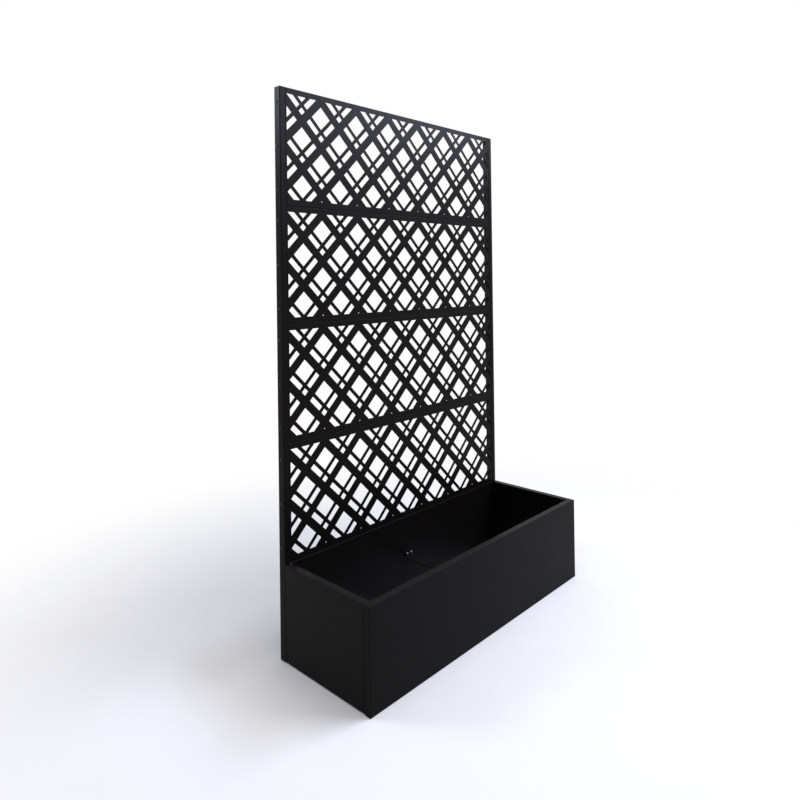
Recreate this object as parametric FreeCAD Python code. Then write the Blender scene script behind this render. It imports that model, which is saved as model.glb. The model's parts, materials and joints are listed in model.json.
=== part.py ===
import FreeCAD, Part
import math
import os

from FreeCAD import Vector

# Planter with trellis. A folded sheet-metal box stands on the ground. Two rectangular tubes stand
# behind its back corners, and lattice panels are screwed between them, one on top of another.
#
# Frame: X runs to the right, Y from the front to the back and Z up. The origin is the middle of the
# footprint, on the ground. All sizes are in millimetres.

# ---- Driving sizes: the whole ----
width = 1120.0  # across the outer faces of the box and of the two posts
box_depth = 392.0  # front face of the box to the front faces of the posts
box_height = 308.0  # ground to the top of the rim
panel_pitch = 380.0  # height of one lattice panel
panel_rows = 4

# ---- Driving sizes: sheet metal ----
sheet = 1.5
bend_radius = 1.0  # inside of every fold
rim_width = 24.0  # flat rim of the box, and the folds at its corners and along its bottom
panel_flange = 28.0  # depth of the folds round the lattice panels and the back panel
flange_relief = 4.0  # corner of a lattice panel to the ends of its folds
end_lift = 3.0  # ground to the end panels

# ---- Driving sizes: posts, caps and feet ----
post_width = 22.0  # along X
post_depth = 30.0  # along Y
post_wall = 1.5
post_bend = 1.0  # inside corners of the tube
panel_setback = 1.0  # front faces of the posts to the front faces of the panels
cap_height = 3.0
foot_height = 5.0
plug_depth = 15.0  # what a cap or a foot pushes into the tube
plug_wall = 2.0
plug_clearance = 0.2
plug_bend = 0.5  # inside corners of a plug
cap_edge = 0.8  # round on the outer edge of a cap or a foot

# ---- Driving sizes: lattice ----
wide_bar = 28.0
thin_bar = 12.5
wide_gap = 53.5
thin_gap = 17.5
diamond_depth = 156.5  # top edge of a panel to the middle of its first whole diamond
field_top = 17.0  # folds of a panel to the nearest openings
field_bottom = 18.5
field_side = 2.7
opening_round = 1.5  # corners of the openings
most_rounding = 0.45  # of an edge, at each of its ends
least_opening = 3.5  # cut-off openings smaller than this are left closed

# ---- Driving sizes: floor and brace ----
rail_width = 40.0
rail_height = 20.0
rail_spacing = 182.0  # between the middles of the two rails
floor_fold = 12.0
floor_clearance = 1.0
drain_hole = 12.0  # diameter
drain_columns = 6
drain_pitch = 180.0
drain_row = 145.0  # middle of the floor to its outer rows of drain holes
brace_width = 40.0
brace_strap = 3.0  # thickness
brace_tab = 25.0  # height of its turned-up ends
brace_level = 154.0  # ground to the underside of the strap
brace_hole_spacing = 20.0

# ---- Driving sizes: fasteners ----
bolt_size = 5.0
head_diameter = 9.5
head_height = 2.75
head_rim = 0.5  # straight edge under the dome
head_flat = 4.75  # diameter of the flat on top
head_bulge = 0.45  # dome above the straight line from its rim to its flat
socket_size = 3.0  # across the flats
socket_depth = 1.6
nut_size = 8.0  # across the flats
nut_height = 4.0
nut_chamfer = 0.6
thread_end = 2.5  # bolt past its nut
tip_chamfer = 0.6
hole_clearance = 0.5  # on the diameter
screw_size = 4.8  # self-drilling screws, and the rivets
screw_length = 12.0
screw_point = 4.0
screw_tip = 1.0  # diameter
rivet_head = 1.1
rivet_flat = 5.7  # diameter of the flat of its head
rivet_tail = 4.0
rivet_tail_diameter = 7.0
rivet_tail_end = 4.2  # diameter
rivet_tail_straight = 2.0
post_screws = 3  # on each post, for each lattice panel
post_screw_margin = 50.0  # panel edge to its first screw
joint_bolts = 3  # between two panels
joint_bolt_margin = 80.0  # side edge of a panel to its first joint bolt
corner_bolts = 3  # at each corner of the box
corner_bolt_margin = 45.0
back_screws = 2  # between the back panel and each post
back_screw_margin = 75.0

# ---- Places that follow from the sizes ----
half_width = width / 2
front_y = -(box_depth + post_depth) / 2
return_y = front_y + rim_width  # where the front panel's returns meet the end panels
post_y = front_y + box_depth
post_middle_y = post_y + post_depth / 2
panel_y = post_y + panel_setback
panel_half = half_width - post_width
post_middle_x = half_width - post_width / 2
top_z = box_height + panel_rows * panel_pitch
fold_middle = (rim_width + sheet) / 2  # outer face of the box to the middle of its inner folds
rail_z = end_lift + sheet
floor_z = rail_z + rail_height + sheet  # upper face of the floor
overcut = 1.0  # how far a cutter runs past what it cuts

UP = Vector(0, 0, 1)
DOWN = Vector(0, 0, -1)
LEFT = Vector(-1, 0, 0)
RIGHT = Vector(1, 0, 0)
FRONT = Vector(0, -1, 0)
BACK = Vector(0, 1, 0)

# Edges of a block are named by where they lie from its middle, as left/right, front/back, low/high.
FRONT_FACE_EDGES = [(-1, -1, 0), (1, -1, 0), (0, -1, -1), (0, -1, 1)]
TOP_FACE_EDGES = [(-1, 0, 1), (1, 0, 1), (0, -1, 1), (0, 1, 1)]
UPRIGHT_EDGES = [(-1, -1, 0), (1, -1, 0), (-1, 1, 0), (1, 1, 0)]


# ---- Blocks and folded sheets ----
def block(low, high):
    """A block between its lowest and its highest corner."""
    size = high - low
    return Part.makeBox(size.x, size.y, size.z, low)


def sign(value, near=0.01):
    """-1, 0 or 1, where anything nearer than this to zero is 0."""
    return (value > near) - (value < -near)


def rounded(solid, places, radius):
    """A block with a round on the edges at these places."""
    middle = solid.BoundBox.Center
    edges = [e for e in solid.Edges if tuple(sign(v) for v in e.CenterOfMass - middle) in places]
    return solid.makeFillet(radius, edges)


def folded_sheet(low, high, open_sides, folds, thickness=sheet):
    """A hollow block of sheet metal that is open on some sides and rounded at its folds."""
    outer = rounded(block(low, high), folds, bend_radius + thickness)
    inner_low = low + Vector(thickness, thickness, thickness)
    inner_high = high - Vector(thickness, thickness, thickness)
    for side in open_sides:
        reach = side * (thickness + overcut)
        if side.x + side.y + side.z < 0:
            inner_low += reach
        else:
            inner_high += reach
    return outer.cut(rounded(block(inner_low, inner_high), folds, bend_radius))


def spread(first, last, count):
    """Evenly spaced values from the first to the last, both included."""
    return [first + (last - first) * index / (count - 1) for index in range(count)]


def drilled(solid, places, direction, diameter, depth):
    """A solid with holes that start at these places, an overcut early, and run this deep."""
    start = direction * -overcut
    length = depth + 2 * overcut
    holes = [Part.makeCylinder(diameter / 2, length, p + start, direction) for p in places]
    return solid.cut(Part.makeCompound(holes))


# ---- Fasteners ----
def revolved(outline):
    """A solid turned about Z from points and arcs in the XZ plane, as (radius, height) pairs.

    A three-number entry is the middle of an arc: radius, height and None.
    """
    points = [Vector(entry[0], 0, entry[1]) for entry in outline]
    edges = []
    index = 0
    while index < len(points) - 1:
        if len(outline[index + 1]) == 3:
            edges.append(Part.Arc(points[index], points[index + 1], points[index + 2]).toShape())
            index += 2
        else:
            edges.append(Part.LineSegment(points[index], points[index + 1]).toShape())
            index += 1
    edges.append(Part.LineSegment(points[-1], points[0]).toShape())
    face = Part.Face(Part.Wire(edges))
    return face.revolve(Vector(), UP, 360)


def hexagon(across_flats, height):
    """An upright hexagonal prism on the origin."""
    radius = across_flats / math.sqrt(3)
    turns = [math.radians(60 * step) for step in range(7)]
    corners = [Vector(radius * math.cos(t), radius * math.sin(t), 0) for t in turns]
    return Part.Face(Part.makePolygon(corners)).extrude(UP * height)


def headed_pin(diameter, length, tip_width, tip_length):
    """A domed head with a socket, pointing down. The underside of the head is at the origin."""
    head = head_diameter / 2
    flat = head_flat / 2
    dome_rise = head_height - head_rim
    bulge = Vector((head + flat) / 2, 0, head_rim + dome_rise / 2)
    bulge += Vector(dome_rise, 0, head - flat).normalize() * head_bulge
    pin = revolved([
        (0, -length),
        (tip_width / 2, -length),
        (diameter / 2, tip_length - length),
        (diameter / 2, 0),
        (head, 0),
        (head, head_rim),
        (bulge.x, bulge.z, None),
        (flat, head_height),
        (0, head_height),
    ])
    socket = hexagon(socket_size, socket_depth + overcut)
    socket.translate(UP * (head_height - socket_depth))
    return pin.cut(socket)


def bolt(grip):
    """A button-head bolt that clamps this thickness with a nut."""
    length = grip + nut_height + thread_end
    return headed_pin(bolt_size, length, bolt_size - 2 * tip_chamfer, tip_chamfer)


def self_drilling_screw():
    """A short screw that cuts its own way into a wall."""
    return headed_pin(screw_size, screw_length, screw_tip, screw_point)


def nut():
    """A hexagonal nut on the origin, its corners chamfered at both ends."""
    round_bar = Part.makeCylinder(nut_size / math.sqrt(3), nut_height)
    rims = [e for e in round_bar.Edges if len(e.Vertexes) == 1]
    round_bar = round_bar.makeChamfer(nut_chamfer, rims)
    bore = Part.makeCylinder(bolt_size / 2, nut_height)
    return hexagon(nut_size, nut_height).common(round_bar).cut(bore)


def rivet(grip):
    """A blind rivet that points up: its head is under the origin and its tail is above the grip."""
    tail = rivet_tail_diameter / 2
    return revolved([
        (0, -rivet_head),
        (rivet_flat / 2, -rivet_head),
        (head_diameter / 2, 0),
        (screw_size / 2, 0),
        (screw_size / 2, grip),
        (tail, grip),
        (tail, grip + rivet_tail_straight),
        (rivet_tail_end / 2, grip + rivet_tail),
        (0, grip + rivet_tail),
    ])


def placed(shape, position, direction):
    """A copy of an upright shape, turned to point its top this way and moved into place."""
    copy = shape.copy()
    copy.Placement = FreeCAD.Placement(position, FreeCAD.Rotation(UP, direction))
    return copy


def group(shape, places, direction):
    """One node of identical separate solids."""
    return Part.makeCompound([placed(shape, place, direction) for place in places])


# ---- Where the fasteners go: the outer faces that their heads press on ----
def post_screw_places(side):
    """On the outer face of a post, beside every lattice panel."""
    places = []
    for row in range(panel_rows):
        low = box_height + row * panel_pitch + post_screw_margin
        high = box_height + (row + 1) * panel_pitch - post_screw_margin
        for z in spread(low, high, post_screws):
            places.append(Vector(side * half_width, post_middle_y, z))
    return places


def joint_places(row):
    """On the line where a lattice panel stands on the one below, or on the back panel."""
    reach = panel_half - joint_bolt_margin
    z = box_height + row * panel_pitch
    return [Vector(x, post_middle_y, z) for x in spread(-reach, reach, joint_bolts)]


def corner_levels():
    """Levels of the fixings along the upright corners of the box."""
    return spread(end_lift + corner_bolt_margin, box_height - corner_bolt_margin, corner_bolts)


def corner_bolt_places(side):
    """Where a return of the front panel meets an end panel."""
    x = side * (half_width - fold_middle)
    return [Vector(x, return_y, z) for z in corner_levels()]


def end_screw_places(side):
    """Where the back fold of an end panel meets a post."""
    return [Vector(side * post_middle_x, post_y, z) for z in corner_levels()]


def back_screw_places(side):
    """Where a side fold of the back panel meets a post."""
    levels = spread(back_screw_margin, box_height - back_screw_margin, back_screws)
    return [Vector(side * panel_half, post_middle_y, z) for z in levels]


def rail_rivet_places():
    """Where the ends of the two rails lie on the end panels' bottom folds."""
    x = half_width - fold_middle
    ys = [rail_middle_y() + rail_spacing / 2 * way for way in (-1, 1)]
    return [Vector(side * x, y, rail_z) for side in (-1, 1) for y in ys]


def brace_fixing_places(y):
    """In the middle of a turned-up end of the brace that lies against the wall at this Y."""
    z = brace_level + brace_strap + bend_radius
    z += (brace_tab - brace_strap - bend_radius) / 2
    return [Vector(way * brace_hole_spacing / 2, y, z) for way in (-1, 1)]


def rail_middle_y():
    """Middle of the floor, between the end panels' front and back folds."""
    return (return_y + post_y) / 2


# ---- Lattice ----
def opening_outlines(height, half_field, field_low, field_high):
    """Outlines of a panel's openings in X and depth below its top edge, cut off at the field.

    Two families of slanting bars cross at right angles. Across each family a wide gap, a thin bar,
    a thin gap and a wide bar follow each other, so each crossing of two gaps is an opening.
    """
    root = math.sqrt(2)
    step = (wide_gap + thin_bar + thin_gap + wide_bar) / root
    gaps = [(0, wide_gap), (wide_gap / 2 + thin_bar + thin_gap / 2, thin_gap)]
    columns = range(-math.ceil(half_field / step) - 1, math.ceil(half_field / step) + 2)
    rows = range(-math.ceil(diamond_depth / step) - 1, math.ceil(height / step) + 1)
    outlines = []
    for column in columns:
        for row in rows:
            if (column + row) % 2:
                continue
            for (left_offset, left_gap) in gaps:
                for (right_offset, right_gap) in gaps:
                    outline = []
                    for (left, right) in ((-1, -1), (-1, 1), (1, 1), (1, -1)):
                        down_left = left_offset + left * left_gap / 2
                        down_right = right_offset + right * right_gap / 2
                        x = column * step + (down_right - down_left) / root
                        depth = diamond_depth + row * step + (down_right + down_left) / root
                        outline.append((x, depth))
                    for (axis, way, limit) in (
                        (0, -1, -half_field),
                        (0, 1, half_field),
                        (1, -1, field_low),
                        (1, 1, field_high),
                    ):
                        outline = cut_off(outline, axis, way, limit)
                    if is_large(outline):
                        outlines.append(outline)
    return outlines


def cut_off(outline, axis, way, limit):
    """What is left of a convex outline on the near side of a limit along one axis."""
    kept = []
    for here, there in zip(outline, outline[1:] + outline[:1]):
        past_here = way * (here[axis] - limit)
        past_there = way * (there[axis] - limit)
        if past_here <= 0:
            kept.append(here)
        if past_here * past_there < 0:
            share = past_here / (past_here - past_there)
            kept.append(tuple(a + share * (b - a) for a, b in zip(here, there)))
    return kept


def is_large(outline):
    """Whether an outline is worth cutting."""
    if len(outline) < 3:
        return False
    return all(max(values) - min(values) >= least_opening for values in zip(*outline))


def rounded_face(corners, radius):
    """A flat face with these corners, each rounded as far as its two edges allow."""
    edges = []
    ends = []
    for before, here, after in zip(corners[-1:] + corners[:-1], corners, corners[1:] + corners[:1]):
        to_before = (before - here).normalize()
        to_after = (after - here).normalize()
        half_angle = to_before.getAngle(to_after) / 2
        shortest = min((before - here).Length, (after - here).Length)
        reach = min(radius / math.tan(half_angle), shortest * most_rounding)
        bisector = (to_before + to_after).normalize()
        fitted = reach * math.tan(half_angle)
        middle = here + bisector * (fitted / math.sin(half_angle) - fitted)
        start = here + to_before * reach
        end = here + to_after * reach
        edges.append(Part.Arc(start, middle, end).toShape())
        ends.append((start, end))
    for index, (start, end) in enumerate(ends):
        previous_end = ends[index - 1][1]
        edges.append(Part.LineSegment(previous_end, start).toShape())
    return Part.Face(Part.Wire(Part.__sortEdges__(edges)))


def lattice_cutters(top_edge):
    """Prisms through the front sheet of a panel, one for each opening."""
    fold = sheet + bend_radius
    outlines = opening_outlines(
        panel_pitch,
        panel_half - fold - field_side,
        fold + field_top,
        panel_pitch - fold - field_bottom,
    )
    cutters = []
    for outline in outlines:
        corners = [Vector(x, panel_y - overcut, top_edge - depth) for x, depth in outline]
        face = rounded_face(corners, opening_round)
        cutters.append(face.extrude(BACK * (sheet + 2 * overcut)))
    return Part.makeCompound(cutters)


# ---- Sheet-metal panels ----
def backward_tray(low_z, high_z):
    """A panel between the posts with its four edges folded backwards, open at the corners."""
    low = Vector(-panel_half, panel_y, low_z)
    high = Vector(panel_half, panel_y + panel_flange, high_z)
    tray = folded_sheet(low, high, [BACK], FRONT_FACE_EDGES)
    reliefs = []
    for side in (-1, 1):
        for edge_z in (low_z, high_z):
            corner = Vector(side * panel_half, panel_y + sheet + panel_flange / 2, edge_z)
            reach = Vector(flange_relief, panel_flange / 2, flange_relief)
            reliefs.append(block(corner - reach, corner + reach))
    return tray.cut(Part.makeCompound(reliefs))


def trellis_blank():
    """The lowest lattice panel, with its openings but no holes."""
    low_z = box_height
    high_z = box_height + panel_pitch
    return backward_tray(low_z, high_z).cut(lattice_cutters(high_z))


def with_panel_holes(panel, row):
    """A lattice panel with the holes for its post screws and its joint bolts."""
    hole = bolt_size + hole_clearance
    low = box_height + row * panel_pitch
    for side in (-1, 1):
        inward = Vector(-side, 0, 0)
        places = [p for p in post_screw_places(side) if low < p.z < low + panel_pitch]
        starts = [p + inward * post_width for p in places]
        panel = drilled(panel, starts, inward, hole, sheet)
    for joint in (row, row + 1):
        if joint < panel_rows:
            starts = [p - UP * sheet for p in joint_places(joint)]
            panel = drilled(panel, starts, UP, hole, 2 * sheet)
    return panel


def back_panel():
    """The back wall of the box, between the posts and under the lowest lattice panel."""
    hole = bolt_size + hole_clearance
    panel = backward_tray(0, box_height)
    panel = drilled(panel, [p - UP * sheet for p in joint_places(0)], UP, hole, sheet)
    for side in (-1, 1):
        inward = Vector(-side, 0, 0)
        panel = drilled(panel, back_screw_places(side), inward, screw_size + hole_clearance, sheet)
    return drilled(panel, brace_fixing_places(panel_y), BACK, hole, sheet)


def front_panel():
    """The front wall, folded round both corners and back on itself, with welded corners."""
    low = Vector(-half_width, front_y, 0)
    high = Vector(half_width, return_y, box_height)
    corners = [(-1, 0, -1), (1, 0, -1), (-1, 0, 1), (1, 0, 1)]
    panel = folded_sheet(low, high, [], FRONT_FACE_EDGES + UPRIGHT_EDGES[2:] + corners)
    opening_low = Vector(rim_width - half_width, return_y - sheet - overcut, sheet)
    opening_high = Vector(half_width - rim_width, return_y + overcut, box_height - sheet)
    panel = panel.cut(block(opening_low, opening_high))
    for side in (-1, 1):
        panel = drilled(panel, corner_bolt_places(side), FRONT, bolt_size + hole_clearance, sheet)
    return panel


def end_panel(side):
    """An end wall with its four edges folded inwards."""
    outer_x = side * half_width
    inner_x = side * (half_width - rim_width)
    low = Vector(min(outer_x, inner_x), return_y, end_lift)
    high = Vector(max(outer_x, inner_x), post_y, box_height)
    inward = Vector(-side, 0, 0)
    folds = [(side, -1, 0), (side, 1, 0), (side, 0, -1), (side, 0, 1)]
    panel = folded_sheet(low, high, [inward], folds)
    panel = drilled(panel, corner_bolt_places(side), BACK, bolt_size + hole_clearance, sheet)
    panel = drilled(panel, end_screw_places(side), FRONT, screw_size + hole_clearance, sheet)
    rivets = [p for p in rail_rivet_places() if p.x * side > 0]
    return drilled(panel, rivets, DOWN, screw_size, sheet)


# ---- Posts, caps and feet ----
def post(side):
    """A rectangular tube from its foot to its cap, with holes for the screws of its side."""
    low = Vector(side * post_middle_x - post_width / 2, post_y, foot_height)
    high = low + Vector(post_width, post_depth, top_z - cap_height - foot_height)
    wall = Vector(post_wall, post_wall, -overcut)
    outer = rounded(block(low, high), UPRIGHT_EDGES, post_bend + post_wall)
    tube = outer.cut(rounded(block(low + wall, high - wall), UPRIGHT_EDGES, post_bend))
    inward = Vector(-side, 0, 0)
    tube = drilled(tube, post_screw_places(side), inward, bolt_size + hole_clearance, post_width)
    tube = drilled(tube, end_screw_places(side), BACK, screw_size, post_wall)
    return drilled(tube, back_screw_places(side), Vector(side, 0, 0), screw_size, post_wall)


def post_plug(side, tube_end, way, head):
    """A cap (way 1) or a foot (way -1): a head outside the tube's end and a hollow plug inside."""
    middle = Vector(side * post_middle_x, post_middle_y, tube_end)
    half = Vector(post_width / 2, post_depth / 2, 0)
    inset = Vector(post_wall + plug_clearance, post_wall + plug_clearance, 0)
    hollow = inset + Vector(plug_wall, plug_wall, 0)

    def prism(reach, near, far, radius):
        low = middle - reach + UP * min(near * way, far * way)
        high = middle + reach + UP * max(near * way, far * way)
        return rounded(block(low, high), UPRIGHT_EDGES, radius)

    cover = prism(half, 0, head, post_bend + post_wall)
    outer_z = tube_end + way * head
    outline = [e for e in cover.Edges if all(abs(v.Z - outer_z) < plug_clearance for v in e.Vertexes)]
    cover = cover.makeFillet(cap_edge, outline)
    plug = prism(half - inset, -plug_depth, 0, post_bend)
    plug = plug.cut(prism(half - hollow, -plug_depth - overcut, 0, plug_bend))
    return cover.fuse(plug).removeSplitter()


# ---- Floor and brace ----
def floor_rail(way):
    """A channel from end to end that is open upwards and carries the floor on its two edges."""
    reach = half_width - sheet - 2 * floor_clearance - sheet
    middle = Vector(0, rail_middle_y() + way * rail_spacing / 2, rail_z)
    low = middle - Vector(reach, rail_width / 2, 0)
    high = middle + Vector(reach, rail_width / 2, rail_height)
    rail = folded_sheet(low, high, [UP, LEFT, RIGHT], [(0, -1, -1), (0, 1, -1)])
    rivets = [p for p in rail_rivet_places() if abs(p.y - middle.y) < rail_width / 2]
    return drilled(rail, rivets, UP, screw_size, sheet)


def floor_panel():
    """The bottom of the box, with its edges folded down and rows of drain holes."""
    reach = half_width - sheet - floor_clearance
    low = Vector(-reach, return_y + sheet + floor_clearance, floor_z - floor_fold)
    high = Vector(reach, post_y - sheet - floor_clearance, floor_z)
    panel = folded_sheet(low, high, [DOWN], TOP_FACE_EDGES)
    half_row = drain_pitch * (drain_columns - 1) / 2
    drains = []
    for x in spread(-half_row, half_row, drain_columns):
        for y in (-drain_row, 0, drain_row):
            drains.append(Vector(x, rail_middle_y() + y, floor_z))
    return drilled(panel, drains, DOWN, drain_hole, sheet)


def center_brace():
    """A strap from the front wall to the back wall with its ends turned up."""
    low = Vector(-brace_width / 2, front_y + sheet, brace_level)
    high = Vector(brace_width / 2, panel_y, brace_level + brace_tab)
    strap = folded_sheet(low, high, [UP, LEFT, RIGHT], [(0, -1, -1), (0, 1, -1)], brace_strap)
    hole = bolt_size + hole_clearance
    strap = drilled(strap, brace_fixing_places(low.y), BACK, hole, brace_strap)
    return drilled(strap, brace_fixing_places(high.y), FRONT, hole, brace_strap)


def brace_stud():
    """A threaded pin, welded to the inside of the front wall, that points up from the origin."""
    length = brace_strap + nut_height + thread_end
    stud = Part.makeCylinder(bolt_size / 2, length)
    tip = [e for e in stud.Edges if len(e.Vertexes) == 1 and e.CenterOfMass.z > length / 2]
    return stud.makeChamfer(tip_chamfer, tip)


# ---- The whole ----
def shifted(places, offset):
    """The same places, moved by an offset."""
    return [place + offset for place in places]


def post_nodes(side, name):
    """A post with its cap, its foot, and its screws and nuts."""
    inward = Vector(-side, 0, 0)
    outward = Vector(side, 0, 0)
    screws = post_screw_places(side)
    return {
        f"{name}_post": post(side),
        f"{name}_post_cap": post_plug(side, top_z - cap_height, 1, cap_height),
        f"{name}_post_foot": post_plug(side, foot_height, -1, foot_height),
        f"{name}_post_screws": group(bolt(post_width + sheet), screws, outward),
        f"{name}_post_nuts": group(nut(), shifted(screws, inward * (post_width + sheet)), inward),
    }


def fastener_nodes():
    """The fixings of the panels, the box and the brace, each kind grouped."""
    joints = [p for row in range(panel_rows) for p in joint_places(row)]
    corners = corner_bolt_places(-1) + corner_bolt_places(1)
    end_screws = shifted(end_screw_places(-1) + end_screw_places(1), FRONT * sheet)
    screw = self_drilling_screw()
    back_heads = []
    for side in (-1, 1):
        inward = Vector(-side, 0, 0)
        back_heads.append(group(screw, shifted(back_screw_places(side), inward * sheet), inward))
    front_fixings = brace_fixing_places(front_y + sheet)
    back_fixings = brace_fixing_places(panel_y)
    brace_nuts = [
        group(nut(), shifted(front_fixings, BACK * brace_strap), BACK),
        group(nut(), shifted(back_fixings, FRONT * brace_strap), FRONT),
    ]
    return {
        "panel_joint_bolts": group(bolt(2 * sheet), shifted(joints, UP * sheet), UP),
        "panel_joint_nuts": group(nut(), shifted(joints, DOWN * sheet), DOWN),
        "corner_bolts": group(bolt(2 * sheet), shifted(corners, BACK * sheet), BACK),
        "corner_nuts": group(nut(), shifted(corners, FRONT * sheet), FRONT),
        "end_panel_screws": group(screw, end_screws, FRONT),
        "back_panel_screws": Part.makeCompound([s for part in back_heads for s in part.Solids]),
        "rail_rivets": group(rivet(2 * sheet), shifted(rail_rivet_places(), DOWN * sheet), UP),
        "brace_studs": group(brace_stud(), front_fixings, BACK),
        "brace_bolts": group(bolt(sheet + brace_strap), shifted(back_fixings, BACK * sheet), BACK),
        "brace_nuts": Part.makeCompound([s for part in brace_nuts for s in part.Solids]),
    }


def all_nodes():
    """Every node by its name."""
    nodes = {
        "front_panel": front_panel(),
        "back_panel": back_panel(),
        "floor_panel": floor_panel(),
        "floor_rail_front": floor_rail(-1),
        "floor_rail_back": floor_rail(1),
        "center_brace": center_brace(),
    }
    blank = trellis_blank()
    for row in range(panel_rows):
        panel = blank.copy()
        panel.translate(UP * panel_pitch * row)
        nodes[f"trellis_panel_{panel_rows - row}"] = with_panel_holes(panel, row)
    for side, name in ((-1, "left"), (1, "right")):
        nodes[f"{name}_end_panel"] = end_panel(side)
        nodes.update(post_nodes(side, name))
    nodes.update(fastener_nodes())
    return nodes


def main():
    """Writes each node to its own file and prints what it holds."""
    os.makedirs("parts", exist_ok=True)
    for name, shape in sorted(all_nodes().items()):
        shape.exportStep(f"parts/{name}.step")
        solids = shape.Solids
        box = shape.BoundBox
        state = "valid" if shape.isValid() else "NOT VALID"
        print(f"{name:22s} {len(solids):3d} solids {shape.Volume:12.0f} mm3 "
              f"Z {box.ZMin:7.1f} to {box.ZMax:7.1f} {state}")


main()
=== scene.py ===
# %% [markdown]
# # A planter box with a lattice trellis
#
# The real object is a long box of folded sheet steel with two square-cut tubes behind it and four
# lattice panels screwed between the tubes. Almost all that shows has one finish: black powder coat,
# a plastic paint that is baked on and comes out satin, with a fine dimpled skin.
#
# The construction is already modelled piece by piece. This lesson loads it as a fixed frame, then
# gives it what a paint shop and a photographer would: soft edges, finishes, light and a camera.

# %% Load the frame
import json
import math

import bmesh
import bpy
from mathutils import Matrix, Vector, noise


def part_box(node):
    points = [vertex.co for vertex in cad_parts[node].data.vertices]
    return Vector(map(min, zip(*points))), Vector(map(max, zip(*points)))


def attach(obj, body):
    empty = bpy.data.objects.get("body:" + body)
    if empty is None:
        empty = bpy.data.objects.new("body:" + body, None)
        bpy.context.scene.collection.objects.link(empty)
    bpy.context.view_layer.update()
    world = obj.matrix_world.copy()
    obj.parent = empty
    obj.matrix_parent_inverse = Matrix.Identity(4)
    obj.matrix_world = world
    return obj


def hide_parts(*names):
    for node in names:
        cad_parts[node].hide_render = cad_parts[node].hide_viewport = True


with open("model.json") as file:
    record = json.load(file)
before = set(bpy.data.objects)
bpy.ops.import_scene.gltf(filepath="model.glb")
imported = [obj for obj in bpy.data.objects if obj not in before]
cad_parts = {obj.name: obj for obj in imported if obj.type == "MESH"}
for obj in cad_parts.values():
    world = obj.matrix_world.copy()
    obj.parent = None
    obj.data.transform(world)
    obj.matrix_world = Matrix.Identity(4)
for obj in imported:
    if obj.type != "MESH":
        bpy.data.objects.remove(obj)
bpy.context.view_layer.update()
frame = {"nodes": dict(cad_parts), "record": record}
MM = 0.001
nodes = frame["nodes"]
slot_of = {part["node"]: part["material_slot"] for part in frame["record"]["subparts"]}
print(f"{len(nodes)} pieces in {len(set(slot_of.values()))} finishes")

# %% [markdown]
# ## Camera
#
# The camera stands at the front left, a little above the middle of the trellis, and looks along an
# almost level line. A level camera keeps upright posts upright in the picture. The middle of the
# object is lower than that line, so the lens is shifted instead of tilted, the way an architect's
# camera works.

# %% Place the camera
camera_place = Vector((-1.7551, -1.5278, 1.2113))
camera_heading = math.radians(47.683)  # to the right of straight ahead
camera_tilt = math.radians(0.268)
camera_roll = math.radians(-0.728)
picture_side = 800.0
focal_pixels = 642.52
axis_pixel = (426.54, 274.82)  # where the lens axis meets the picture
sensor = 36.0  # width in mm

ahead = Vector((
    math.sin(camera_heading) * math.cos(camera_tilt),
    math.cos(camera_heading) * math.cos(camera_tilt),
    math.sin(camera_tilt),
))
level_right = Vector((math.cos(camera_heading), -math.sin(camera_heading), 0))
level_up = level_right.cross(ahead)
right = level_right * math.cos(camera_roll) + level_up * math.sin(camera_roll)
up = level_up * math.cos(camera_roll) - level_right * math.sin(camera_roll)

lens = bpy.data.cameras.new("camera")
lens.sensor_width = sensor
lens.lens = focal_pixels * sensor / picture_side
lens.shift_x = (picture_side / 2 - axis_pixel[0]) / picture_side
lens.shift_y = (axis_pixel[1] - picture_side / 2) / picture_side
camera = bpy.data.objects.new("camera", lens)
camera_turn = Matrix((right, up, -ahead)).transposed().to_4x4()
camera.matrix_world = Matrix.Translation(camera_place) @ camera_turn
bpy.context.scene.collection.objects.link(camera)
bpy.context.scene.camera = camera
bpy.context.scene.view_settings.view_transform = "Standard"
print(f"lens {lens.lens:.1f} mm, shift {lens.shift_x:.3f}, {lens.shift_y:.3f}")

# %% [markdown]
# ## Shader maths as Python
#
# A finish is a small graph of nodes. Written out node by node it is hard to read, so one class
# wraps a socket and lets it be added and multiplied, and a second class holds the graph of one
# finish. `1 - mask` then adds a Math node, and every other node comes from the method `node`.


# %% A socket that can be added and multiplied
class Wire:
    """A value that flows from one shader node to the next."""

    def __init__(self, finish, socket):
        self.finish = finish
        self.socket = socket

    def _math(self, operation, first, second):
        return self.finish.node("Math", {"operation": operation}, {0: first, 1: second})

    def __add__(self, other):
        return self._math("ADD", self, other)

    __radd__ = __add__

    def __mul__(self, other):
        return self._math("MULTIPLY", self, other)

    __rmul__ = __mul__

    def __sub__(self, other):
        return self._math("SUBTRACT", self, other)

    def __rsub__(self, other):
        return self._math("SUBTRACT", other, self)


# %% A finish that is built node by node
# The Mix node has sockets of the same names for each type of value, so they go by their places.
MIX_FACTOR = 0
VECTOR_A, VECTOR_B, MIXED_VECTOR = 4, 5, 1
COLOR_A, COLOR_B, MIXED_COLOR = 6, 7, 2


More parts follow.
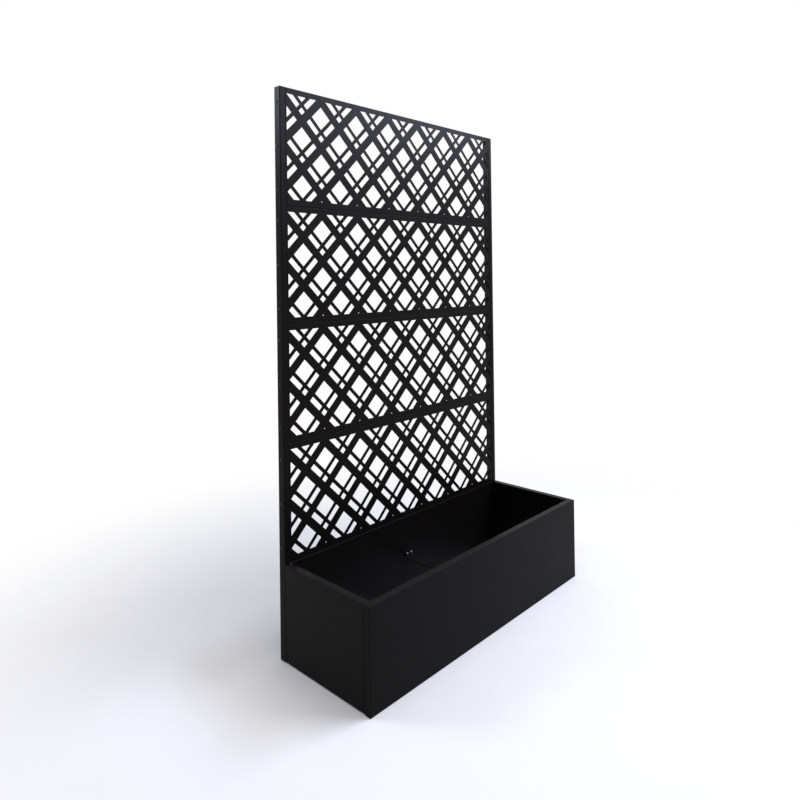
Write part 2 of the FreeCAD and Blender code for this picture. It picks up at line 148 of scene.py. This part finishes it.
class Finish:
    """One material, or the world, as a graph of nodes."""

    def __init__(self, tree):
        self.tree = tree
        tree.nodes.clear()

    def node(self, kind, settings=None, sockets=None, output=0):
        """Adds a node, sets it, feeds its sockets and returns one of its outputs."""
        made = self.tree.nodes.new("ShaderNode" + kind)
        for name, value in (settings or {}).items():
            setattr(made, name, value)
        for name, value in (sockets or {}).items():
            if isinstance(value, Wire):
                self.tree.links.new(value.socket, made.inputs[name])
            else:
                made.inputs[name].default_value = value
        return Wire(self, made.outputs[output]) if len(made.outputs) else None

    def noise(self, scale, detail=2.0):
        """Soft random values from 0 to 1, with this many lumps to the metre."""
        where = self.node("TexCoord", output="Object")
        return self.node("TexNoise", None, {"Vector": where, "Scale": scale, "Detail": detail})

    def between(self, mask, low, high):
        """A number that follows the mask from low to high."""
        return mask * (high - low) + low

    def blend(self, mask, low, high):
        """A colour that follows the mask from low to high, each a colour or a socket."""
        low, high = (end if isinstance(end, Wire) else (*end, 1) for end in (low, high))
        sockets = {MIX_FACTOR: mask, COLOR_A: low, COLOR_B: high}
        return self.node("Mix", {"data_type": "RGBA"}, sockets, MIXED_COLOR)

    def bump(self, height, depth):
        """A surface direction that follows small heights, in metres."""
        return self.node("Bump", None, {"Height": height, "Distance": depth, "Strength": 1.0})


def material(name, build):
    """A material whose Principled BSDF takes the sockets that build returns."""
    made = bpy.data.materials.new(name)
    made.use_nodes = True
    finish = Finish(made.node_tree)
    surface = finish.node("BsdfPrincipled", None, build(finish))
    finish.node("OutputMaterial", None, {"Surface": surface})
    return made


# %% [markdown]
# ## Light
#
# Black satin paint is shown by what it mirrors. A white room in every direction would turn it grey,
# so the coat mirrors little, and the shape comes from three soft lamps: one over the box, a wide low
# one at the right front that the top of the trellis mirrors, and a small one behind on the left that
# the top of the left post mirrors. Lower down, both mirror nothing bright, so they fall off to black.
#
# The room shows white but lights the object less than that, so pale surfaces don't burn out. The
# lamps are hidden from the camera, because from some sides one would stand in front of the object.

# %% Light the scene
world = bpy.data.worlds.new("studio")
world.use_nodes = True
bpy.context.scene.world = world
shown_level = 1.0
ambient_level = 0.45
room = Finish(world.node_tree)
seen = room.node("LightPath", output="Is Camera Ray")
mirrored = room.node("LightPath", output="Is Glossy Ray")
through = room.node("LightPath", output="Is Transmission Ray")
shown = room.node("Math", {"operation": "MAXIMUM"}, {0: seen, 1: mirrored})
shown = room.node("Math", {"operation": "MAXIMUM"}, {0: shown, 1: through})
level = room.between(shown, ambient_level, shown_level)
backdrop = room.node("Background", None, {"Color": (1, 1, 1, 1), "Strength": level})
room.node("OutputWorld", None, {"Surface": backdrop})


def soft_lamp(name, place, target, size, power, color):
    """A rectangular lamp that faces its target."""
    lamp = bpy.data.lights.new(name, "AREA")
    lamp.shape = "RECTANGLE"
    lamp.size, lamp.size_y = size
    lamp.energy = power
    lamp.color = color
    made = bpy.data.objects.new(name, lamp)
    made.location = place
    made.rotation_euler = (Vector(target) - Vector(place)).to_track_quat("-Z", "Y").to_euler()
    made.visible_camera = False
    bpy.context.scene.collection.objects.link(made)
    print(f"{name}: {power} W over {size[0]} x {size[1]} m")


soft_lamp("overhead_lamp", place=(0.2, -0.6, 3.4), target=(0, 0, 0.3),
          size=(2.4, 1.6), power=35, color=(1.0, 0.93, 0.8))
soft_lamp("front_lamp", place=(1.6, -1.5, 2.65), target=(0, 0.2, 1.65),
          size=(2.3, 0.7), power=96, color=(0.7, 0.75, 1.0))
soft_lamp("side_lamp", place=(-1.8, 1.95, 2.55), target=(-0.56, 0.2, 1.7),
          size=(0.9, 0.6), power=29, color=(0.74, 0.79, 1.0))

# %% [markdown]
# ## Floor
#
# The floor only has to hold the shadow. It is a pale disc that fades out before its rim, so the
# white room shows behind it and no edge crosses the picture.

# %% Lay the floor
floor_radius = 6.0
floor_solid = 0.8  # radius up to which the floor is fully there
floor_gone = 2.1  # radius from which only the room shows
floor_pale = (0.86, 0.86, 0.86)
floor_palest = (0.9, 0.9, 0.9)
rim_points = 96
floor_mesh = bpy.data.meshes.new("floor")
turns = [math.tau * step / rim_points for step in range(rim_points)]
rim = [(math.cos(turn) * floor_radius, math.sin(turn) * floor_radius, 0) for turn in turns]
floor_mesh.from_pydata(rim, [], [range(rim_points)])
floor = bpy.data.objects.new("floor", floor_mesh)
bpy.context.scene.collection.objects.link(floor)

floor_material = bpy.data.materials.new("floor")
floor_material.use_nodes = True
ground = Finish(floor_material.node_tree)
place = ground.node("TexCoord", output="Object")
distance = ground.node("VectorMath", {"operation": "LENGTH"}, {"Vector": place}, "Value")
fade = ground.node("MapRange", {"interpolation_type": "SMOOTHSTEP"},
                   {"Value": distance, "From Min": floor_solid, "From Max": floor_gone})
grain = ground.noise(scale=6.0, detail=3.0)
pale = ground.node("BsdfDiffuse", None, {"Color": ground.blend(grain, floor_pale, floor_palest)})
clear = ground.node("BsdfTransparent")
faded = ground.node("MixShader", None, {0: fade, 1: pale, 2: clear})
ground.node("OutputMaterial", None, {"Surface": faded})
floor_mesh.materials.append(floor_material)
print(f"floor: whole up to {floor_solid} m, gone at {floor_gone} m")

# %% [markdown]
# ## Powder coat
#
# The coat is near black. Its skin is dimpled like an orange at about a millimetre, it is a touch
# rougher in some places than in others, and a little dust lies on what faces up.


# %% Black powder coat
def powder_coat(finish):
    """Satin black paint with a dimpled skin and a trace of dust."""
    dust_cover = 0.22  # share of the paint that the thickest dust hides
    dust_roughness = 0.2
    speck_roughness = 0.05
    noise_middle = 0.5
    ripple_share = 0.6  # of the dimples' depth
    dimples = finish.noise(scale=900.0, detail=2.0)
    ripple = finish.noise(scale=60.0, detail=1.0)
    patches = finish.noise(scale=5.0, detail=4.0)
    specks = finish.noise(scale=2600.0, detail=1.0)
    facing = finish.node("NewGeometry", output="Normal")
    upward = finish.node("SeparateXYZ", None, {"Vector": facing}, "Z")
    dust = finish.node("MapRange", None, {"Value": upward, "From Min": 0.5, "From Max": 1.0})
    dust = dust * finish.noise(scale=40.0, detail=5.0) * dust_cover
    coat = finish.blend(patches, low=(0.0037, 0.0031, 0.0028), high=(0.0055, 0.0047, 0.0043))
    roughness = finish.between(patches, low=0.33, high=0.42) + dust * dust_roughness
    return {
        "Base Color": finish.blend(dust, low=coat, high=(0.03, 0.029, 0.028)),
        "Roughness": roughness + (specks - noise_middle) * speck_roughness,
        "Specular IOR Level": 0.05,
        "Normal": finish.bump(dimples + ripple * ripple_share, depth=0.06 * MM),
    }


# %% [markdown]
# ## Fastenings, caps and the hidden steel
#
# The fasteners of the posts, the panels and the box are blackened to match the coat. Those of the
# brace and the rails stay plain dull zinc, and the floor and its rails are galvanised: hot zinc sets
# in crystals, which show as grey patches with edges.


# %% The other finishes
def black_plastic(finish):
    """Moulded plastic with a fine spark-eroded grain."""
    grain = finish.noise(scale=1500.0, detail=2.0)
    cloud = finish.noise(scale=30.0, detail=3.0)
    return {
        "Base Color": finish.blend(cloud, low=(0.012, 0.012, 0.012), high=(0.02, 0.02, 0.021)),
        "Roughness": finish.between(grain, low=0.5, high=0.66),
        "Specular IOR Level": 0.4,
        "Normal": finish.bump(grain, depth=0.05 * MM),
    }


def black_steel(finish):
    """Blackened screws, rubbed a little brighter in places."""
    rub = finish.noise(scale=300.0, detail=4.0)
    return {
        "Base Color": finish.blend(rub, low=(0.01, 0.01, 0.011), high=(0.035, 0.034, 0.035)),
        "Metallic": 0.6,
        "Roughness": finish.between(rub, low=0.3, high=0.5),
        "Normal": finish.bump(finish.noise(scale=2000.0), depth=0.01 * MM),
    }


def zinc_steel(finish):
    """Dull zinc with the faint straw and blue of its passivation."""
    tint = finish.noise(scale=120.0, detail=3.0)
    return {
        "Base Color": finish.blend(tint, low=(0.32, 0.33, 0.35), high=(0.42, 0.40, 0.35)),
        "Metallic": 1.0,
        "Roughness": finish.between(finish.noise(scale=900.0), low=0.38, high=0.55),
        "Normal": finish.bump(finish.noise(scale=2500.0), depth=0.01 * MM),
    }


def galvanised_steel(finish):
    """Zinc crystals of a few millimetres, each with its own grey and its own gloss."""
    bend_scale = 90.0
    bend_share = 0.012  # share of the bend that is mixed into each place
    crystals = 110.0  # to the metre
    where = finish.node("TexCoord", output="Object")
    bend = finish.node("TexNoise", None, {"Vector": where, "Scale": bend_scale}, "Color")
    mixed = {MIX_FACTOR: bend_share, VECTOR_A: where, VECTOR_B: bend}
    bent = finish.node("Mix", {"data_type": "VECTOR"}, mixed, MIXED_VECTOR)
    crystal = finish.node("TexVoronoi", None, {"Vector": bent, "Scale": crystals}, "Color")
    shade = finish.node("SeparateColor", None, {"Color": crystal}, "Red")
    edge = finish.node("TexVoronoi", None, {"Vector": bent, "Scale": crystals}, "Distance")
    return {
        "Base Color": finish.blend(shade, low=(0.36, 0.38, 0.40), high=(0.58, 0.60, 0.61)),
        "Metallic": 0.9,
        "Roughness": finish.between(shade, low=0.34, high=0.56),
        "Normal": finish.bump(edge, depth=0.03 * MM),
    }


builders = (powder_coat, black_plastic, black_steel, zinc_steel, galvanised_steel)
finishes = {build.__name__: material(build.__name__, build) for build in builders}
for name, piece in nodes.items():
    piece.data.materials.clear()
    piece.data.materials.append(finishes[slot_of[name]])
print("finished:", ", ".join(sorted(finishes)))

# %% [markdown]
# ## Folded sheet metal
#
# No real sheet has a sharp edge: paint gathers round it, and that thin round is what catches the
# light. A bevel in the shader would do for one picture, but the edge has to be in the mesh. So each
# sheet or tube is copied from the frame, its flat faces are joined and its sharp edges are bevelled.
# The galvanised floor and its rails get the same small round as the coated pieces.
# Where a relief cut runs out along the round of a fold, two edges meet at only 4 degrees. A bevel on
# both would meet far outside the sheet, so two edges at such a corner stay as they are.
#
# Large thin walls are never quite flat either. Where a wall is large, it is cut into a grid and
# moved in and out by a few tenths of a millimetre, and left alone near its folds, which are stiff.

# %% Copy a piece and soften its edges
weld_distance = 0.001 * MM
coat_round = 0.35 * MM
round_steps = 2
half_round = 0.5  # the bevel profile of a circle
flat_angle = math.radians(0.5)
sharp_angle = math.radians(40)
least_corner = math.radians(15)
weight_by_area = 100  # of the Weighted Normal modifier: the largest face decides


def softened(node):
    """A mesh in progress: the node's shape, with its flat faces joined and its edges rounded."""
    shape = bmesh.new()
    shape.from_mesh(nodes[node].data)
    bmesh.ops.remove_doubles(shape, verts=shape.verts, dist=weld_distance)
    bmesh.ops.dissolve_limit(shape, angle_limit=flat_angle, verts=shape.verts, edges=shape.edges)
    sharp = {e for e in shape.edges if e.is_manifold and e.calc_face_angle() > sharp_angle}
    left_alone = set()
    for face in shape.faces:
        for corner in face.loops:
            pair = {corner.edge, corner.link_loop_prev.edge}
            if corner.calc_angle() < least_corner and pair <= sharp:
                left_alone |= pair
    edges = [e for e in shape.edges if e in sharp and e not in left_alone]
    bmesh.ops.bevel(shape, geom=edges, offset=coat_round, segments=round_steps,
                    profile=half_round, affect="EDGES", clamp_overlap=False)
    print(f"{node}: {len(edges)} edges rounded, {len(left_alone)} left alone")
    return shape


def finished_piece(name, mesh, node):
    """A new piece that stands for a node: shaded, finished and fixed to the body."""
    for face in mesh.polygons:
        face.use_smooth = True
    piece = bpy.data.objects.new(name, mesh)
    bpy.context.scene.collection.objects.link(piece)
    shading = piece.modifiers.new("flat faces stay flat", "WEIGHTED_NORMAL")
    shading.weight = weight_by_area
    mesh.materials.append(finishes[slot_of[node]])
    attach(piece, "root")
    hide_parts(node)
    return piece


def mesh_from(shape, name):
    """The finished mesh of a shape in progress."""
    mesh = bpy.data.meshes.new(name)
    shape.to_mesh(mesh)
    shape.free()
    return mesh


# %% Give large walls their slight unevenness
wave_height = 0.45 * MM
wave_length = 0.34
wall_grid = 0.06
stiff_margin = 0.05  # width over which the unevenness grows to its full height
flat_margins = 0.5  # how many of these widths beside a fold stay flat
waves_to_noise = 2  # lumps of the noise in one wave length


def uneven(shape, node, across, skin):
    """Moves one wall of a shape in and out. The wall lies across an axis, within the skin's span."""
    low, high = (Vector(corner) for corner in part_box(node))
    spans = [axis for axis in range(3) if axis != across]
    for axis in spans:
        normal = Vector((0, 0, 0))
        normal[axis] = 1
        steps = round((high[axis] - low[axis]) / wall_grid)
        for step in range(1, steps):
            point = low.copy()
            point[axis] += (high[axis] - low[axis]) * step / steps
            bmesh.ops.bisect_plane(shape, geom=shape.verts[:] + shape.edges[:] + shape.faces[:],
                                   plane_co=point, plane_no=normal)
    for vertex in shape.verts:
        if not skin[0] <= vertex.co[across] <= skin[1]:
            continue
        calm = 1.0
        for axis in spans:
            reach = min(vertex.co[axis] - low[axis], high[axis] - vertex.co[axis])
            calm *= min(max(reach / stiff_margin - flat_margins, 0.0), 1.0)
        place = vertex.co.copy()
        place[across] = low[across]
        lump = noise.noise(place / wave_length * waves_to_noise)
        vertex.co[across] += calm * wave_height * lump


# %% Build the coated and the galvanised pieces
sheet = 1.5 * MM
skin_slack = 0.2 * MM
walls = {
    "front_panel": (1, "low"),
    "back_panel": (1, "low"),
    "left_end_panel": (0, "low"),
    "right_end_panel": (0, "high"),
}
for node, (across, side) in walls.items():
    low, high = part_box(node)
    if side == "low":
        skin = (low[across] - skin_slack, low[across] + sheet + skin_slack)
    else:
        skin = (high[across] - sheet - skin_slack, high[across] + skin_slack)
    wall = softened(node)
    uneven(wall, node, across, skin)
    piece = finished_piece(node + "_coated", mesh_from(wall, node), node)
    print(piece.name, len(piece.data.polygons), "faces")

coated = ("left_post", "right_post", "trellis_panel_1", "trellis_panel_4", "center_brace")
galvanised = ("floor_panel", "floor_rail_front", "floor_rail_back")
for group, ending in ((coated, "_coated"), (galvanised, "_folded")):
    for node in group:
        piece = finished_piece(node + ending, mesh_from(softened(node), node), node)
        print(piece.name, len(piece.data.polygons), "faces")

# %% [markdown]
# ## Repeated panels
#
# The second, third and fourth lattice panels are the same pressing with the same holes, so the
# fourth is shaped once and the other two are copies of its mesh, moved up by one and two panels.

# %% Copy the lattice panel
lowest = bpy.data.objects["trellis_panel_4_coated"]
for node in ("trellis_panel_3", "trellis_panel_2"):
    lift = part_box(node)[0][2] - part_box("trellis_panel_4")[0][2]
    mesh = lowest.data.copy()
    mesh.materials.clear()
    mesh.transform(Matrix.Translation((0, 0, lift)))
    piece = finished_piece(node + "_coated", mesh, node)
    print(f"{piece.name} is {lift:.3f} m above the lowest")

# %% [markdown]
# ## Turned parts
#
# Screws, nuts, rivets and studs are all rings round an axis. One function joins rings of points
# into a closed skin. A ring is a height and a radius, and the radius may change round the ring: that
# makes a hexagon, or the hexagon with rounded-off corners that a nut has.
#
# A true thread is a helix, but at this size nobody sees its slope, so the threads are plain grooves.

# %% Join rings into a skin
columns = 24  # a multiple of six, so that a hexagon gets its corners


def ring_skin(rings):
    """Points and faces of a closed skin round Z, from rings of (height, radius)."""
    points = []
    for height, radius in rings:
        for column in range(columns):
            turn = math.tau * column / columns
            reach = radius(turn) if callable(radius) else radius
            points.append(Vector((math.cos(turn) * reach, math.sin(turn) * reach, height)))
    faces = [tuple(range(columns))[::-1]]
    for row in range(len(rings) - 1):
        for column in range(columns):
            here = row * columns + column
            there = row * columns + (column + 1) % columns
            faces.append((here, there, there + columns, here + columns))
    faces.append(tuple(range((len(rings) - 1) * columns, len(rings) * columns)))
    return points, faces


def hexagon(across_flats, corner=None):
    """The radius of a hexagon in each direction, held within a round corner where one is given."""
    def radius(turn):
        from_flat = (turn % math.radians(60)) - math.radians(30)
        reach = across_flats / 2 / math.cos(from_flat)
        return min(reach, corner) if corner else reach
    return radius


# %% Shapes of the fasteners
thread_radius = 2.5 * MM
thread_pitch = 0.8 * MM
thread_depth = 0.35 * MM
groove_end, crest_start, crest_end = 0.1, 0.45, 0.6  # shares of a pitch
tip_chamfer = 0.7 * MM
head_radius = 4.75 * MM
head_height = 2.75 * MM
head_rim = 0.5 * MM
head_flat = 2.375 * MM  # radius of the flat round the socket
head_break = 0.15 * MM  # the broken lower edge of the head
dome_steps = 6
dome_swell = 0.45 * MM
swell_share = 0.7  # of the swell, outwards and upwards alike
socket = 3.0 * MM  # across its flats
socket_depth = 1.6 * MM
mouth_widening = 0.4 * MM
mouth_depth = 0.2 * MM
drill_hollow = 0.3 * MM  # depth and radius of the drill's mark in the socket's floor


def threads(radius, low, high):
    """Rings of a threaded stretch, from its lower end to its upper end."""
    rings = []
    count = max(1, round((high - low) / thread_pitch))
    pitch = (high - low) / count
    for index in range(count):
        start = low + index * pitch
        rings.append((start, radius - thread_depth))
        rings.append((start + pitch * groove_end, radius - thread_depth))
        rings.append((start + pitch * crest_start, radius))
        rings.append((start + pitch * crest_end, radius))
    return rings


def button_head():
    """Rings of a domed head with a hexagonal socket, from its underside to the socket's floor."""
    dome = []
    for step in range(dome_steps + 1):
        share = step / dome_steps
        swell = dome_swell * math.sin(math.pi * share) * swell_share
        radius = head_radius + (head_flat - head_radius) * share + swell
        dome.append((head_rim + (head_height - head_rim) * share + swell, radius))
    mouth = hexagon(socket + mouth_widening)
    wall = hexagon(socket)
    floor = head_height - socket_depth
    return [
        (0.0, head_radius - head_break),
        (head_break, head_radius),
        *dome,
        (head_height, mouth),
        (head_height - mouth_depth, wall),
        (floor, wall),
        (floor - drill_hollow, drill_hollow),
    ]


# %% A bolt and a drilling screw
def bolt(length):
    """A machine bolt that points down, threaded over its last stretch."""
    tip_end = -length + 0.4 * MM
    thread_start = -length + 0.5 * MM
    thread_end = -length + min(8 * MM, length - 1 * MM)
    tip = [(-length, thread_radius - tip_chamfer), (tip_end, thread_radius - thread_depth)]
    turned = threads(thread_radius, thread_start, thread_end)
    plain = [(thread_end, thread_radius), (0.0, thread_radius)]
    return ring_skin(tip + turned + plain + button_head())


def drill_screw(length):
    """A self-drilling screw that points down."""
    radius = 2.4 * MM
    point_radius = 0.3 * MM
    point_end = -length + 4 * MM
    neck = 0.4 * MM  # unthreaded, under the head
    tip = [(-length, point_radius), (point_end, radius - thread_depth)]
    turned = threads(radius, point_end + 0.1 * MM, -neck)
    return ring_skin(tip + turned + [(0.0, radius)] + button_head())


# %% A nut
def nut(height):
    """A hexagonal nut on the origin with chamfered corners and a plain bore."""
    size = 8.0 * MM  # across its flats
    corner = size / math.sqrt(3)
    chamfer = 0.5 * MM
    chamfer_rise = 0.12 * MM
    face_radius = size / 2 - 0.15 * MM
    bore_chamfer = 0.3 * MM
    mouth = thread_radius + bore_chamfer
    drawn_in = hexagon(size, corner - chamfer)
    full = hexagon(size, corner - 0.05 * MM)
    rings = [
        (0.0, face_radius),
        (chamfer_rise, drawn_in),
        (chamfer, full),
        (height - chamfer, full),
        (height - chamfer_rise, drawn_in),
        (height, face_radius),
        (height, mouth),
        (height - bore_chamfer, thread_radius),
        (bore_chamfer, thread_radius),
        (0.0, mouth),
    ]
    points, faces = ring_skin(rings)
    faces = faces[1:-1]  # without the two ends, so that the bore goes through
    last = (len(rings) - 1) * columns
    for column in range(columns):
        beside = (column + 1) % columns
        faces.append((last + column, last + beside, beside, column))
    return points, faces


# %% A rivet and a stud
rivet_head = 1.1 * MM


def rivet(length):
    """A blind rivet on the origin: its low head below and its swollen tail above."""
    body = 2.4 * MM
    grip = 3.0 * MM
    head = 4.75 * MM
    tail = length - rivet_head
    return ring_skin([
        # the head, from the hole of the mandrel to its underside
        (-rivet_head, 1.2 * MM), (-rivet_head, 2.6 * MM), (-0.95 * MM, 3.4 * MM),
        (-0.55 * MM, 4.3 * MM), (-0.15 * MM, head), (0.0, head - 0.1 * MM), (0.0, body),
        # the body through the sheets, then the tail that swells behind them
        (grip, body), (grip, 3.3 * MM), (grip + 0.3 * MM, 3.5 * MM),
        (grip + 2.0 * MM, 3.45 * MM), (tail - 0.9 * MM, 2.7 * MM), (tail, 1.9 * MM),
        (tail - 0.6 * MM, 1.1 * MM),
    ])


def stud(length):
    """A threaded pin that points up from its weld."""
    weld_end = 1.0 * MM
    weld = [(0.0, 2.7 * MM), (0.25 * MM, 2.65 * MM), (0.7 * MM, 2.55 * MM)]
    weld.append((weld_end, thread_radius))
    turned = threads(thread_radius, weld_end + 0.2 * MM, length - 0.5 * MM)
    tip = [(length - 0.4 * MM, thread_radius - thread_depth)]
    tip.append((length, thread_radius - tip_chamfer))
    return ring_skin(weld + turned + tip)


# %% [markdown]
# ## Putting the fasteners where the frame has them
#
# Each group of fasteners in the frame is one mesh of separate solids. The script finds the solids by
# walking from point to point along the edges, and puts a detailed copy in the box of each.

# %% Find the separate solids of a group
box_digits = 5  # places a box is rounded to before the boxes are sorted


def solids_of(node):
    """The lowest and highest corner of each separate solid of a node."""
    shape = bmesh.new()
    shape.from_mesh(nodes[node].data)
    bmesh.ops.remove_doubles(shape, verts=shape.verts, dist=weld_distance)
    left = set(shape.verts)
    boxes = []
    while left:
        found = {left.pop()}
        to_visit = list(found)
        while to_visit:
            here = to_visit.pop()
            for link in here.link_edges:
                there = link.other_vert(here)
                if there not in found:
                    found.add(there)
                    to_visit.append(there)
        left -= found
        boxes.append(tuple(Vector(f(v.co[axis] for v in found) for axis in range(3))
                           for f in (min, max)))
    shape.free()
    return sorted(boxes, key=lambda box: tuple(round(value, box_digits) for value in box[0]))


def fasten(node, name, shape_of, direction, below):
    """Replaces a group by detailed copies that point this way, a length below their origin."""
    points = []
    faces = []
    boxes = solids_of(node)
    for low, high in boxes:
        way = Vector(direction(low, high))
        axis = max(range(3), key=lambda index: abs(way[index]))
        length = high[axis] - low[axis]
        middle = (low + high) / 2
        middle[axis] = low[axis] if way[axis] > 0 else high[axis]
        origin = middle + way * below(length)
        turned = way.to_track_quat("Z", "Y").to_matrix()
        solid_points, solid_faces = shape_of(length)
        start = len(points)
        points += [origin + turned @ point for point in solid_points]
        faces += [tuple(start + index for index in face) for face in solid_faces]
    mesh = bpy.data.meshes.new(name)
    mesh.from_pydata(points, [], faces)
    finished_piece(name, mesh, node)
    print(f"{name}: {len(boxes)} of them, {len(faces)} faces")


def towards(x, y, z):
    """A fixed direction for every solid of a group."""
    return lambda low, high: (x, y, z)


def inwards(low, high):
    """Towards the middle of the box, along X."""
    return (-1 if low.x + high.x > 0 else 1, 0, 0)


# %% Fit the fasteners
def shank(length):
    """What a headed fastener has under its head."""
    return length - head_height


def whole_bolt(length):
    """A bolt of this length from its tip to the top of its head."""
    return bolt(shank(length))


def whole_screw(length):
    """A self-drilling screw of this length from its point to the top of its head."""
    return drill_screw(shank(length))


def below_rivet(length):
    """A rivet's head lies below its origin, whatever its length."""
    return rivet_head


def none(length):
    """Nothing lies below the origin of this fastener."""
    return 0.0


fasten("left_post_screws", "left_post_button_screws", whole_bolt, towards(-1, 0, 0), shank)
fasten("right_post_screws", "right_post_button_screws", whole_bolt, towards(1, 0, 0), shank)
fasten("panel_joint_bolts", "panel_joint_button_bolts", whole_bolt, towards(0, 0, 1), shank)
fasten("corner_bolts", "corner_button_bolts", whole_bolt, towards(0, 1, 0), shank)
fasten("brace_bolts", "brace_button_bolts", whole_bolt, towards(0, 1, 0), shank)
fasten("end_panel_screws", "end_panel_drill_screws", whole_screw, towards(0, -1, 0), shank)
fasten("back_panel_screws", "back_panel_drill_screws", whole_screw, inwards, shank)
fasten("brace_studs", "brace_weld_studs", stud, towards(0, 1, 0), none)
fasten("rail_rivets", "rail_blind_rivets", rivet, towards(0, 0, 1), below_rivet)
fasten("left_post_nuts", "left_post_hex_nuts", nut, towards(1, 0, 0), none)
fasten("right_post_nuts", "right_post_hex_nuts", nut, towards(-1, 0, 0), none)
fasten("panel_joint_nuts", "panel_joint_hex_nuts", nut, towards(0, 0, 1), none)
fasten("corner_nuts", "corner_hex_nuts", nut, towards(0, 1, 0), none)
fasten("brace_nuts", "brace_hex_nuts", nut, towards(0, 1, 0), none)

# %% [markdown]
# ## Caps and feet
#
# A cap or a foot is moulded plastic: a head that covers the end of the tube and a hollow plug that
# grips inside it with thin ribs. Its outline is a rectangle with round corners, so the skin is made
# of such outlines, one above the other, each drawn in by its own amount.

# %% Draw the outline of a cap or a foot
corner_steps = 5
corner_radius = 2.5 * MM
least_radius = 0.2 * MM


def rounded_outline(half_x, half_y, inset, z):
    """Points of a rectangle with round corners, drawn in by an inset."""
    points = []
    fitted = max(corner_radius - inset, least_radius)
    for quarter in range(4):
        way_x = 1 if quarter in (0, 3) else -1
        way_y = 1 if quarter in (0, 1) else -1
        middle = Vector((way_x * (half_x - inset - fitted), way_y * (half_y - inset - fitted), z))
        for step in range(corner_steps + 1):
            turn = math.radians(90) * (quarter + step / corner_steps)
            points.append(middle + Vector((math.cos(turn), math.sin(turn), 0)) * fitted)
    return points


# %% List the outlines, each an inset and a depth below the outer face
edge_round = 0.8 * MM
edge_steps = 5
crown = 0.35 * MM  # how far the middle of the head stands out
cap_break = 0.15 * MM  # the broken edge of the head's underside
grip = 1.7 * MM  # inset of the plug that goes into the tube
grip_chamfer = (0.5 * MM, 1.0 * MM)
ribs = 3
first_rib = 3.0 * MM  # from the head
rib_pitch = 3.6 * MM
rib_height = 0.15 * MM
rib_rises = ((0.0, 0.0), (0.3 * MM, rib_height), (0.7 * MM, rib_height), (1.0 * MM, 0.0))
hollow = 3.7 * MM  # inset of the hollow inside the plug
hollow_break = 0.3 * MM
floor_thickness = 0.6 * MM


def head_rows(head):
    """The slightly crowned outer face, its rounded edge and the rest on the tube's end."""
    rows = [(6 * MM, 0.0), (3 * MM, crown * 0.25), (1.6 * MM, crown * 0.7)]
    for step in range(edge_steps + 1):
        turn = math.radians(90) * step / edge_steps
        rows.append((edge_round * (1 - math.sin(turn)), crown + edge_round * (1 - math.cos(turn))))
    return rows + [(0.0, head - cap_break), (cap_break, head), (grip, head)]


def plug_rows(head, depth):
    """The ribbed outside of the plug, its open end and its hollow inside."""
    rows = []
    for rib in range(ribs):
        start = head + first_rib + rib * rib_pitch
        rows += [(grip - rise, start + along) for along, rise in rib_rises]
    rows += [(grip, depth - grip_chamfer[1]), (grip + grip_chamfer[0], depth)]
    rows += [(hollow - hollow_break, depth), (hollow, depth - hollow_break)]
    return rows + [(hollow, head + floor_thickness)]


# %% Build a cap or a foot
def plug(node, post_node, way, name):
    """A cap (way 1) or a foot (way -1) with a soft edge, a hollow plug and grip ribs."""
    low, high = (Vector(corner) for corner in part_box(node))
    post_low, post_high = (Vector(corner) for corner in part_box(post_node))
    middle = (low + high) / 2
    half_x = (high.x - low.x) / 2
    half_y = (high.y - low.y) / 2
    if way > 0:
        outer_z, tube_z, inner_z = high.z, post_high.z, low.z
    else:
        outer_z, tube_z, inner_z = low.z, post_low.z, high.z
    head = abs(outer_z - tube_z)
    rows = head_rows(head) + plug_rows(head, abs(outer_z - inner_z))
    points = []
    for inset, down in rows:
        outline = rounded_outline(half_x, half_y, inset, outer_z - way * down)
        points += [point + Vector((middle.x, middle.y, 0)) for point in outline]
    count = 4 * (corner_steps + 1)
    faces = [tuple(range(count))]
    for row in range(len(rows) - 1):
        for column in range(count):
            here = row * count + column
            there = row * count + (column + 1) % count
            faces.append((here, here + count, there + count, there))
    faces.append(tuple(range((len(rows) - 1) * count, len(rows) * count))[::-1])
    if way < 0:
        faces = [face[::-1] for face in faces]
    mesh = bpy.data.meshes.new(name)
    mesh.from_pydata(points, [], faces)
    finished_piece(name, mesh, node)
    print(f"{name}: {len(faces)} faces")


for side in ("left", "right"):
    plug(f"{side}_post_cap", f"{side}_post", 1, f"{side}_post_ribbed_cap")
    plug(f"{side}_post_foot", f"{side}_post", -1, f"{side}_post_ribbed_foot")
